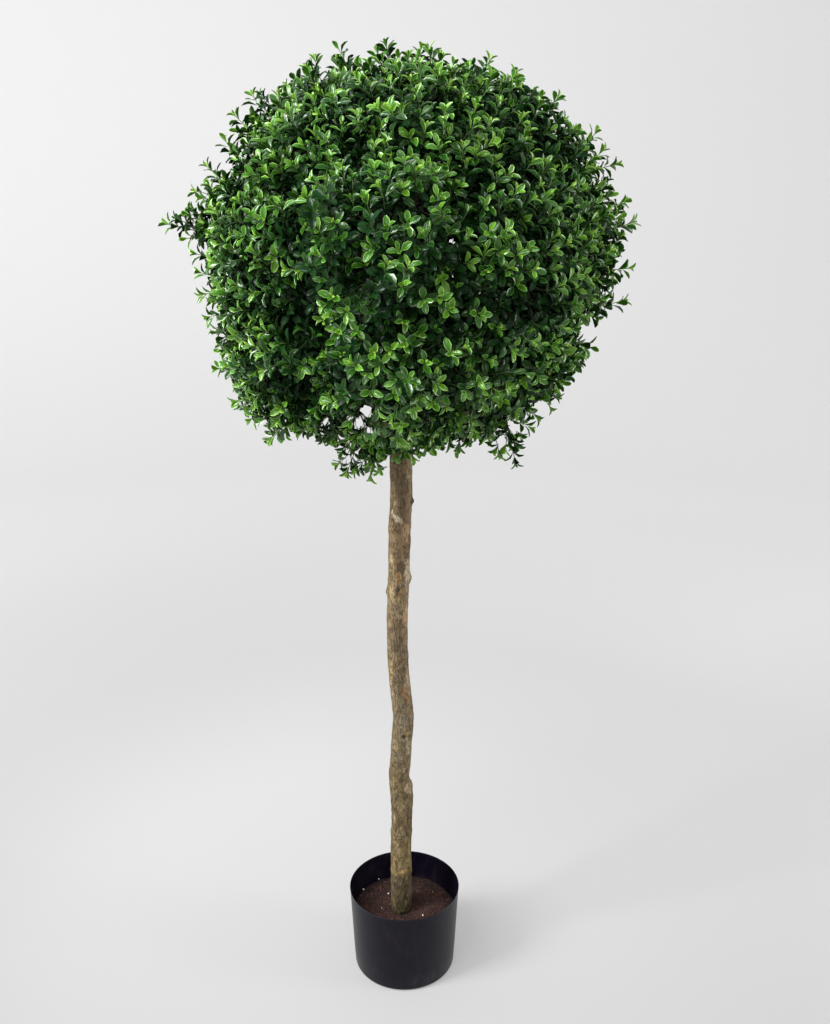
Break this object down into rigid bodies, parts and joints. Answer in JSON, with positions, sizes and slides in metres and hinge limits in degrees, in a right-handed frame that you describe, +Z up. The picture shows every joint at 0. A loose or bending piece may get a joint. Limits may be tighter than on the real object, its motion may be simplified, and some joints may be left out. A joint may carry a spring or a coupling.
{
  "type": "artificial boxwood topiary tree in a pot",
  "caption": "Artificial boxwood ball tree: a round clipped crown of leaf masses on a bare, slightly crooked stem, standing in a plain round plastic pot.",
  "frame": {"origin": "centre of the pot's flat underside, on the floor", "axes": "+Z up along the stem, +X to the right and -Y to the front, as the tree is shown"},
  "size_m": [0.6552, 0.6016, 1.499],
  "materials": {
    "pot": "satin black moulded plastic",
    "soil": "brown coir crumbs with a few white grains",
    "bark": "rough mottled bark",
    "bough_bark": "dark brown bark",
    "foliage": "satin green leaves"
  },
  "bodies": {
    "root": {"bough_bottom_1": "bough_bark", "bough_bottom_2": "bough_bark", "bough_bottom_3": "bough_bark", "bough_lower_1": "bough_bark", "bough_lower_2": "bough_bark", "bough_lower_3": "bough_bark", "bough_lower_4": "bough_bark", "bough_lower_5": "bough_bark", "bough_lower_6": "bough_bark", "bough_middle_1": "bough_bark", "bough_middle_2": "bough_bark", "bough_middle_3": "bough_bark", "bough_middle_4": "bough_bark", "bough_middle_5": "bough_bark", "bough_middle_6": "bough_bark", "bough_middle_7": "bough_bark", "bough_top": "bough_bark", "bough_upper_1": "bough_bark", "bough_upper_2": "bough_bark", "bough_upper_3": "bough_bark", "bough_upper_4": "bough_bark", "bough_upper_5": "bough_bark", "mass_bottom_1": "foliage", "mass_bottom_2": "foliage", "mass_bottom_3": "foliage", "mass_lower_1": "foliage", "mass_lower_2": "foliage", "mass_lower_3": "foliage", "mass_lower_4": "foliage", "mass_lower_5": "foliage", "mass_lower_6": "foliage", "mass_middle_1": "foliage", "mass_middle_2": "foliage", "mass_middle_3": "foliage", "mass_middle_4": "foliage", "mass_middle_5": "foliage", "mass_middle_6": "foliage", "mass_middle_7": "foliage", "mass_top": "foliage", "mass_upper_1": "foliage", "mass_upper_2": "foliage", "mass_upper_3": "foliage", "mass_upper_4": "foliage", "mass_upper_5": "foliage", "pot": "pot", "soil": "soil", "trunk": "bark", "tuft_left": "foliage", "tuft_low_left": "foliage", "tuft_low_right": "foliage"}
  },
  "joints": []
}
